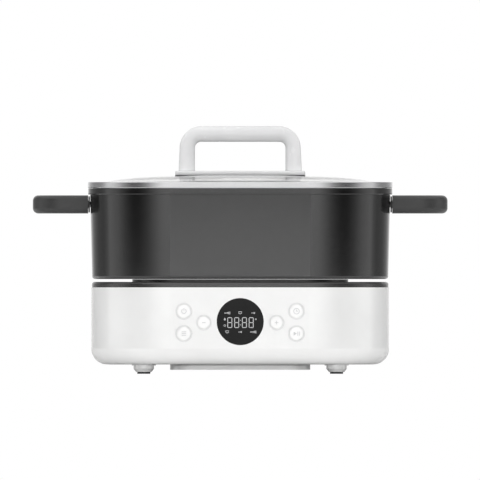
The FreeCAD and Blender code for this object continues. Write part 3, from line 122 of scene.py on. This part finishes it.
def roughened(tree, shader, noise, low, high):
    """The shader's roughness wanders between two values."""
    span = tree.nodes.new("ShaderNodeMapRange")
    span.inputs["To Min"].default_value = low
    span.inputs["To Max"].default_value = high
    linked(tree, noise, "Fac", span, "Value")
    linked(tree, span, "Result", shader, "Roughness")


def bumped(tree, shader, noise, depth):
    """Fine relief of this depth in metres."""
    bump = tree.nodes.new("ShaderNodeBump")
    bump.inputs["Distance"].default_value = depth
    bump.inputs["Strength"].default_value = 1.0
    linked(tree, noise, "Fac", bump, "Height")
    linked(tree, bump, "Normal", shader, "Normal")


def moulded(name, dark, light, roughness, relief=4e-6, grain=900, ior=1.5):
    """Moulded plastic or rubber: faint cloudiness and a fine mould texture."""
    material, tree, shader = blank_material(name)
    coloured(tree, shader, stretched_noise(tree, 30), dark, light)
    roughened(tree, shader, stretched_noise(tree, 120), *roughness)
    bumped(tree, shader, stretched_noise(tree, grain, detail=2.0), relief)
    shader.inputs["IOR"].default_value = ior
    return material


def metal(name, dark, light, roughness, stretch=(1, 1, 1), relief=1e-6, grain=60):
    """Bare metal with the fine lines that rolling, brushing or turning leaves."""
    material, tree, shader = blank_material(name)
    coloured(tree, shader, stretched_noise(tree, 25), dark, light)
    lines = stretched_noise(tree, grain, stretch)
    roughened(tree, shader, lines, *roughness)
    bumped(tree, shader, lines, relief)
    shader.inputs["Metallic"].default_value = 1.0
    return material


def white_plastic():
    return moulded("white_plastic", (0.80, 0.80, 0.795), (0.83, 0.83, 0.825), (0.06, 0.10),
                   relief=5e-7, grain=300, ior=2.1)


def key_plastic():
    return moulded("key_plastic", (0.86, 0.86, 0.855), (0.89, 0.89, 0.885), (0.16, 0.22), relief=2e-6)


def black_rubber():
    return moulded("black_rubber", (0.012, 0.012, 0.012), (0.025, 0.025, 0.025), (0.65, 0.85),
                   relief=2e-5, grain=1500)


def speckled_coating(name, dark, light, roughness, flecks):
    """Sprayed non-stick coating: a dark coat with orange-peel relief and faint paler flecks."""
    material, tree, shader = blank_material(name)
    ramp = coloured(tree, shader, stretched_noise(tree, 40), dark, light)
    speckle = stretched_noise(tree, 1800, detail=1.0)
    fleck_shape = tree.nodes.new("ShaderNodeMapRange")
    fleck_shape.inputs["From Min"].default_value = 0.68
    fleck_shape.inputs["From Max"].default_value = 0.76
    linked(tree, speckle, "Fac", fleck_shape, "Value")
    mixed = tree.nodes.new("ShaderNodeMix")
    mixed.data_type = "RGBA"
    mixed.inputs[MIX_COLOUR_B].default_value = (*flecks, 1)
    linked(tree, fleck_shape, "Result", mixed, "Factor")
    linked(tree, ramp, "Color", mixed, MIX_COLOUR_A)
    linked(tree, mixed, MIX_COLOUR_OUT, shader, "Base Color")
    roughened(tree, shader, stretched_noise(tree, 200), *roughness)
    bumped(tree, shader, stretched_noise(tree, 700, detail=2.0), 3e-6)
    shader.inputs["IOR"].default_value = 1.9
    return material


def dark_coating():
    return speckled_coating("dark_coating", (0.016, 0.016, 0.016), (0.020, 0.020, 0.020), (0.18, 0.25),
                            flecks=(0.04, 0.04, 0.04))


def pot_coating():
    return speckled_coating("pot_coating", (0.0025, 0.0025, 0.0025), (0.004, 0.004, 0.004), (0.12, 0.16),
                            flecks=(0.01, 0.01, 0.01))


def steel():
    return metal("steel", (0.55, 0.55, 0.56), (0.64, 0.64, 0.65), (0.22, 0.38), stretch=(1, 1, 12))


def rim_steel():
    return metal("rim_steel", (0.77, 0.77, 0.78), (0.80, 0.80, 0.81), (0.18, 0.26),
                 stretch=(1, 1, 60), relief=4e-7)


def dark_steel():
    return moulded("dark_steel", (0.020, 0.020, 0.020), (0.028, 0.028, 0.028), (0.35, 0.5), relief=6e-6)


def brass():
    return metal("brass", (0.62, 0.44, 0.18), (0.74, 0.55, 0.25), (0.20, 0.34), stretch=(1, 14, 1))


def display_glass():
    return moulded("display_glass", (0.003, 0.003, 0.003), (0.005, 0.005, 0.005), (0.03, 0.06),
                   relief=0.0, ior=1.36)


def lid_glass():
    """Clear tempered glass with a faint ripple."""
    material, tree, shader = blank_material("lid_glass")
    coloured(tree, shader, stretched_noise(tree, 12), (0.955, 0.960, 0.955), (0.975, 0.975, 0.970))
    roughened(tree, shader, stretched_noise(tree, 60), 0.0, 0.02)
    bumped(tree, shader, stretched_noise(tree, 18, detail=1.0), 8e-6)
    shader.inputs["Transmission Weight"].default_value = 1.0
    shader.inputs["IOR"].default_value = 1.25
    return material


def black_plastic():
    return moulded("black_plastic", (0.020, 0.020, 0.021), (0.032, 0.032, 0.033), (0.45, 0.6), relief=8e-6)


def handle_plastic():
    return moulded("handle_plastic", (0.034, 0.034, 0.034), (0.042, 0.042, 0.042), (0.28, 0.38), relief=5e-6)


def grey_plastic():
    return moulded("grey_plastic", (0.78, 0.78, 0.785), (0.83, 0.83, 0.835), (0.22, 0.30), relief=3e-6)


def dark_silicone():
    return moulded("dark_silicone", (0.060, 0.060, 0.060), (0.085, 0.085, 0.085), (0.55, 0.7), relief=1e-5)


def terminal_plastic():
    return moulded("terminal_plastic", (0.02, 0.12, 0.06), (0.03, 0.17, 0.09), (0.35, 0.5))


def wire_insulation():
    return moulded("wire_insulation", (0.30, 0.02, 0.015), (0.42, 0.04, 0.03), (0.45, 0.6))


def circuit_board():
    """Solder mask over a pattern of tracks, which shows as slightly paler blocks."""
    material, tree, shader = blank_material("circuit_board")
    tracks = tree.nodes.new("ShaderNodeTexVoronoi")
    tracks.distance = "CHEBYCHEV"
    tracks.inputs["Scale"].default_value = 260
    place = tree.nodes.new("ShaderNodeTexCoord")
    linked(tree, place, "Object", tracks, "Vector")
    ramp = tree.nodes.new("ShaderNodeValToRGB")
    ramp.color_ramp.elements[0].color = (0.010, 0.080, 0.030, 1)
    ramp.color_ramp.elements[1].color = (0.020, 0.160, 0.060, 1)
    linked(tree, tracks, "Distance", ramp, "Fac")
    linked(tree, ramp, "Color", shader, "Base Color")
    roughened(tree, shader, stretched_noise(tree, 300), 0.25, 0.4)
    return material


def ink_and_painted_shade(name, shade):
    """Printing ink, which wanders a little to the dark side of its shade; the key grey also serves as painted
    shade in the gap round each key.
    """
    darker = tuple(0.94 * channel for channel in shade)
    return moulded(name, darker, shade, (0.35, 0.5), relief=1e-6)


def floor_finish():
    """A matt pale studio floor."""
    return moulded("studio_floor", (0.93, 0.93, 0.93), (0.95, 0.95, 0.95), (0.8, 0.95),
                   relief=1e-5, grain=300)


# One function for each material slot of the record, with the slot's name
FINISHES = (white_plastic, key_plastic, black_rubber, dark_coating, pot_coating, steel, rim_steel, dark_steel,
            brass, display_glass, lid_glass, black_plastic, handle_plastic, grey_plastic, dark_silicone,
            terminal_plastic, wire_insulation, circuit_board)
materials = {finish.__name__: finish() for finish in FINISHES}
for part in frame["record"]["subparts"]:
    for material_slot in frame["nodes"][part["node"]].material_slots:
        material_slot.material = materials[part["material_slot"]]
# Grey for the key symbols; the same grey, as a ring round each key, is painted shade of the gap between key
# and panel
key_ink_and_gap_shade = ink_and_painted_shade("key_ink_and_gap_shade", (0.58, 0.58, 0.59))
display_ink = ink_and_painted_shade("display_ink", (0.55, 0.55, 0.56))


def middle_of(node):
    """The x and z of a node's centre, and the y of its front face."""
    low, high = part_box(node)
    return (low.x + high.x) / 2, (low.z + high.z) / 2, low.y


def prism(vertices, faces, outline, front, back):
    """Adds a flat piece with this outline in x and z to the lists of a mesh."""
    first, count = len(vertices), len(outline)
    vertices += [(x, front, z) for x, z in outline] + [(x, back, z) for x, z in outline]
    faces.append([first + index for index in range(count)])
    faces.append([first + count + index for index in reversed(range(count))])
    for index in range(count):
        after = (index + 1) % count
        faces.append([first + after, first + index, first + count + index, first + count + after])


def mark(name, outlines, front, body, ink):
    """A mark of flat pieces just proud of the face it is on, riding on that face's body: print, and also the
    painted shade in the gap round each key.
    """
    vertices, faces = [], []
    for outline in outlines:
        prism(vertices, faces, outline, front - MARK_PROUD, front + MARK_SUNK)
    mesh = bpy.data.meshes.new(name)
    mesh.from_pydata(vertices, [], faces)
    mesh.materials.append(ink)
    piece = bpy.data.objects.new(name, mesh)
    bpy.context.scene.collection.objects.link(piece)
    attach(piece, body)


def bar(x, z, width, height):
    """A rectangle round a middle."""
    return [(x - width / 2, z - height / 2), (x + width / 2, z - height / 2),
            (x + width / 2, z + height / 2), (x - width / 2, z + height / 2)]


def arc_points(x, z, radius, start, end, steps):
    """Points on a circle between two angles in degrees, counted from +x towards +z."""
    turns = [math.radians(start + (end - start) * step / steps) for step in range(steps + 1)]
    return [(x + radius * math.cos(turn), z + radius * math.sin(turn)) for turn in turns]


def arc_band(x, z, radius, width, start, end, steps=36):
    """A band along part of a circle."""
    outer = arc_points(x, z, radius + width / 2, start, end, steps)
    inner = arc_points(x, z, radius - width / 2, start, end, steps)
    return outer + inner[::-1]


def ring(x, z, radius, width):
    """A whole ring as two half bands a hair apart."""
    hair = 0.1
    return [arc_band(x, z, radius, width, start + hair, start + 180 - hair) for start in (0, 180)]


def power_symbol(x, z):
    """An open ring with a bar in its gap."""
    return [arc_band(x, z, 2.3 * MM, STROKE, 125, 415), bar(x, z + 1.9 * MM, STROKE, 2.6 * MM)]


def timer_symbol(x, z):
    """A clock face with its two hands at three o'clock."""
    up, along, thin = 1.7 * MM, 1.5 * MM, STROKE / 2
    hands = [(x - thin, z + up), (x - thin, z - thin), (x + along, z - thin),
             (x + along, z + thin), (x + thin, z + thin), (x + thin, z + up)]
    return ring(x, z, 2.8 * MM, STROKE) + [hands]


def menu_symbol(x, z):
    """Three bars."""
    return [bar(x, z + row * 1.7 * MM, 4.6 * MM, STROKE) for row in (-1, 0, 1)]


def start_symbol(x, z):
    """A triangle and two upright bars."""
    triangle = [(x - 2.9 * MM, z - 2.1 * MM), (x + 0.2 * MM, z), (x - 2.9 * MM, z + 2.1 * MM)]
    return [triangle, bar(x + 1.3 * MM, z, STROKE, 4.2 * MM), bar(x + 2.9 * MM, z, STROKE, 4.2 * MM)]


def minus_symbol(x, z):
    """A bar."""
    return [bar(x, z, 3.6 * MM, STROKE)]


def plus_symbol(x, z):
    """A cross."""
    long, thin = 1.8 * MM, STROKE / 2
    corner = [(thin, thin), (thin, long), (-thin, long), (-thin, thin), (-long, thin), (-long, -thin),
              (-thin, -thin), (-thin, -long), (thin, -long), (thin, -thin), (long, -thin), (long, thin)]
    return [[(x + across, z + up) for across, up in corner]]


KEY_SYMBOLS = {"key_power": power_symbol, "key_timer": timer_symbol, "key_menu": menu_symbol,
               "key_start": start_symbol, "key_minus": minus_symbol, "key_plus": plus_symbol}
for key, symbol in KEY_SYMBOLS.items():
    x, z, face = middle_of(key)
    low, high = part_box(key)
    mark(key + "_symbol", symbol(x, z), face, key, key_ink_and_gap_shade)
    # A grey ring just inside each key's rim: painted shade of the gap between the key and the panel
    key_radius = (high.x - low.x) / 2
    gap_shade_ring = ring(x, z, key_radius - GAP_SHADE_WIDTH / 2 - GAP_SHADE_MARGIN, GAP_SHADE_WIDTH)
    mark(key + "_ring", gap_shade_ring, face, key, key_ink_and_gap_shade)


def pointed_stroke(start, end, stroke):
    """The corners of a stroke with pointed ends, as distances along it and to its right side."""
    half = stroke / 2
    return [(start, 0), (start + half, half), (end - half, half),
            (end, 0), (end - half, -half), (start + half, -half)]


def segments(x, z, width, height, stroke):
    """The seven strokes of a display digit, which don't touch."""
    left, right = x - width / 2 + stroke / 2, x + width / 2 - stroke / 2
    levels = (z - height / 2 + stroke / 2, z, z + height / 2 - stroke / 2)
    strokes = []
    for level in levels:
        corners = pointed_stroke(left + SEGMENT_GAP, right - SEGMENT_GAP, stroke)
        strokes.append([(along, level - aside) for along, aside in corners])
    for across in (left, right):
        for low, high in zip(levels, levels[1:]):
            corners = pointed_stroke(low + SEGMENT_GAP, high - SEGMENT_GAP, stroke)
            strokes.append([(across + aside, along) for along, aside in corners])
    return strokes


window_x, window_z, window_face = middle_of("display_window")
digit_z = window_z + DIGIT_LEVEL
digits = [stroke for slot_x in DIGIT_SLOTS
          for stroke in segments(window_x + slot_x, digit_z, DIGIT_WIDTH, DIGIT_HEIGHT, DIGIT_STROKE)]
colon = [bar(window_x + COLON_X, digit_z + up, DIGIT_STROKE, DIGIT_STROKE)
         for up in (-COLON_RISE, COLON_RISE)]
mark("display_digits", digits + colon, window_face, "base", display_ink)


def level_bars(x, z, count):
    """A row of short bars that rise like a level meter."""
    spacing, width = 1.3 * MM, 0.7 * MM
    return [bar(x + (index - (count - 1) / 2) * spacing, z, width, (0.9 + 0.45 * index) * MM)
            for index in range(count)]


def bowl_symbol(x, z):
    """Half a ring under a bar."""
    bowl = arc_band(x, z + 0.6 * MM, 1.5 * MM, 0.5 * MM, 180, 360, 16)
    return [bowl, bar(x, z + 1.2 * MM, 3.6 * MM, 0.5 * MM)]


def drop_symbol(x, z):
    """A round belly under a point."""
    belly = arc_points(x, z - 0.3 * MM, 0.9 * MM, 160, 380, 14)
    return [belly + [(x, z + 1.5 * MM)]]


pictograms = []
for row, row_level in enumerate(PICTOGRAM_ROWS):
    for column, column_place in enumerate(PICTOGRAM_COLUMNS):
        x, z = window_x + column_place, window_z + row_level
        shapes = (level_bars(x, z, 5), bowl_symbol(x, z), level_bars(x, z, 3))
        pictograms += shapes[(row + column) % 3]
left_x, right_x = window_x + STATUS_LEFT, window_x + STATUS_RIGHT
upper_z, lower_z = window_z + STATUS_UPPER, window_z + STATUS_LOWER
pictograms += drop_symbol(left_x, upper_z)
pictograms += ring(left_x, lower_z, 0.9 * MM, 0.4 * MM)
pictograms += ring(right_x, upper_z, 0.6 * MM, 0.35 * MM)
mark("display_pictograms", pictograms, window_face, "base", display_ink)

# Stage: a pale floor, and a studio wall that only reflections see
FLOOR_HALF = 12.0
floor_mesh = bpy.data.meshes.new("studio_floor")
floor_mesh.from_pydata([(-FLOOR_HALF, -FLOOR_HALF, 0), (FLOOR_HALF, -FLOOR_HALF, 0),
                        (FLOOR_HALF, FLOOR_HALF, 0), (-FLOOR_HALF, FLOOR_HALF, 0)], [], [(0, 1, 2, 3)])
floor_mesh.materials.append(floor_finish())
studio_floor = bpy.data.objects.new("studio_floor", floor_mesh)
bpy.context.scene.collection.objects.link(studio_floor)

WALL_RADIUS = 1.8
WALL_FOOT = 2 * MM
WALL_TOP = 1.6
WALL_STEPS = 48
WALL_START, WALL_END = 6, 172
# How bright the studio wall looks in a reflection, by the angle in degrees from the photograph's side
WALL_LEVELS = ((6, 1.0), (14, 0.9), (24, 0.55), (34, 0.2), (46, 0.03), (56, 0.05), (66, 0.22),
               (78, 0.55), (94, 0.75), (97, 0.72), (101, 0.42), (110, 0.24), (128, 0.26), (145, 0.45),
               (160, 0.9), (172, 1.0))


def wall_finish():
    """A wall whose glow changes with the angle round the object, as soft boxes and dark flags give it."""
    material, tree, shader = blank_material("studio_wall")
    place = tree.nodes.new("ShaderNodeTexCoord")
    axes = tree.nodes.new("ShaderNodeSeparateXYZ")
    across = tree.nodes.new("ShaderNodeMath")
    across.operation = "ABSOLUTE"
    towards = tree.nodes.new("ShaderNodeMath")
    towards.operation = "MULTIPLY"
    towards.inputs[1].default_value = -1.0
    angle = tree.nodes.new("ShaderNodeMath")
    angle.operation = "ARCTAN2"
    share = tree.nodes.new("ShaderNodeMath")
    share.operation = "DIVIDE"
    share.inputs[1].default_value = math.pi
    ramp = tree.nodes.new("ShaderNodeValToRGB")
    stops = ramp.color_ramp.elements
    for index, (degrees, level) in enumerate(WALL_LEVELS):
        stop = stops[index] if index < 2 else stops.new(degrees / 180)
        stop.position = degrees / 180
        stop.color = (level, level, level, 1)
    linked(tree, place, "Object", axes, "Vector")
    linked(tree, axes, "X", across, 0)
    linked(tree, axes, "Y", towards, 0)
    linked(tree, across, "Value", angle, 0)
    linked(tree, towards, "Value", angle, 1)
    linked(tree, angle, "Value", share, 0)
    linked(tree, share, "Value", ramp, "Fac")
    linked(tree, ramp, "Color", shader, "Emission Color")
    shader.inputs["Base Color"].default_value = (0, 0, 0, 1)
    shader.inputs["Specular IOR Level"].default_value = 0.0
    shader.inputs["Emission Strength"].default_value = 1.0
    return material


def reflected_only(name, vertices, faces, material):
    """A card of the stage that only gloss sees."""
    mesh = bpy.data.meshes.new(name)
    mesh.from_pydata(vertices, [], faces)
    mesh.materials.append(material)
    card = bpy.data.objects.new(name, mesh)
    bpy.context.scene.collection.objects.link(card)
    card.visible_camera = False
    card.visible_diffuse = False
    card.visible_transmission = False
    card.visible_shadow = False


wall_material = wall_finish()
for side_name, side in (("left", -1), ("right", 1)):
    wall_vertices = []
    for step in range(WALL_STEPS + 1):
        turn = math.radians(WALL_START + (WALL_END - WALL_START) * step / WALL_STEPS)
        for level in (WALL_FOOT, WALL_TOP):
            wall_vertices.append((side * WALL_RADIUS * math.sin(turn), -WALL_RADIUS * math.cos(turn), level))
    wall_faces = [(2 * step, 2 * step + 1, 2 * step + 3, 2 * step + 2) for step in range(WALL_STEPS)]
    reflected_only("studio_wall_" + side_name, wall_vertices, wall_faces, wall_material)


def soft_box(name, place, aim, width, height, power):
    """A rectangular soft lamp turned towards a point."""
    lamp = bpy.data.lights.new(name, "AREA")
    lamp.shape = "RECTANGLE"
    lamp.size = width
    lamp.size_y = height
    lamp.energy = power
    thing = bpy.data.objects.new(name, lamp)
    thing.location = place
    thing.rotation_euler = (Vector(aim) - Vector(place)).to_track_quat("-Z", "Y").to_euler()
    thing.visible_glossy = False
    bpy.context.scene.collection.objects.link(thing)


# Each soft box's name, its place, the point it is turned to, its width and height, and its power in watts
POT_MIDDLE = (0, 0, 0.12)
SOFT_BOXES = (
    ("low_front_fill", (0, -2.4, 0.065), (0, 0, 0.065), 2.6, 0.11, 28),
    ("front_fill", (0, -2.2, 1.1), POT_MIDDLE, 2.4, 1.2, 5),
    ("left_box", (-1.9, -0.3, 0.8), POT_MIDDLE, 1.2, 1.4, 10),
    ("right_box", (1.9, -0.3, 0.8), POT_MIDDLE, 1.2, 1.4, 10),
    ("top_box", (0, 0.2, 2.2), POT_MIDDLE, 2.0, 2.0, 14),
)
for box in SOFT_BOXES:
    soft_box(*box)

# World: soft grey light on the object, and white where the camera, gloss or glass sees it
AMBIENT = 0.35
world = bpy.data.worlds.new("studio")
bpy.context.scene.world = world
world.use_nodes = True
sky = world.node_tree
ambient = sky.nodes["Background"]
ambient.inputs["Color"].default_value = (1, 1, 1, 1)
ambient.inputs["Strength"].default_value = AMBIENT
white = sky.nodes.new("ShaderNodeBackground")
white.inputs["Color"].default_value = (1, 1, 1, 1)
white.inputs["Strength"].default_value = 1.0
rays = sky.nodes.new("ShaderNodeLightPath")
glossy_too = sky.nodes.new("ShaderNodeMath")
glossy_too.operation = "MAXIMUM"
glass_too = sky.nodes.new("ShaderNodeMath")
glass_too.operation = "MAXIMUM"
choice = sky.nodes.new("ShaderNodeMixShader")
linked(sky, rays, "Is Camera Ray", glossy_too, 0)
linked(sky, rays, "Is Glossy Ray", glossy_too, 1)
linked(sky, glossy_too, "Value", glass_too, 0)
linked(sky, rays, "Is Transmission Ray", glass_too, 1)
linked(sky, glass_too, "Value", choice, "Fac")
linked(sky, ambient, "Background", choice, 1)
linked(sky, white, "Background", choice, 2)
linked(sky, choice, "Shader", sky.nodes["World Output"], "Surface")

camera_data = bpy.data.cameras.new("photo_camera")
camera_data.type = "ORTHO"
camera_data.ortho_scale = CAMERA_WIDTH
camera = bpy.data.objects.new("photo_camera", camera_data)
camera.location = (CAMERA_X, -CAMERA_DISTANCE, CAMERA_Z)
camera.rotation_euler = (math.radians(90), 0, 0)
bpy.context.scene.collection.objects.link(camera)
bpy.context.scene.camera = camera
bpy.context.scene.view_settings.view_transform = "Standard"
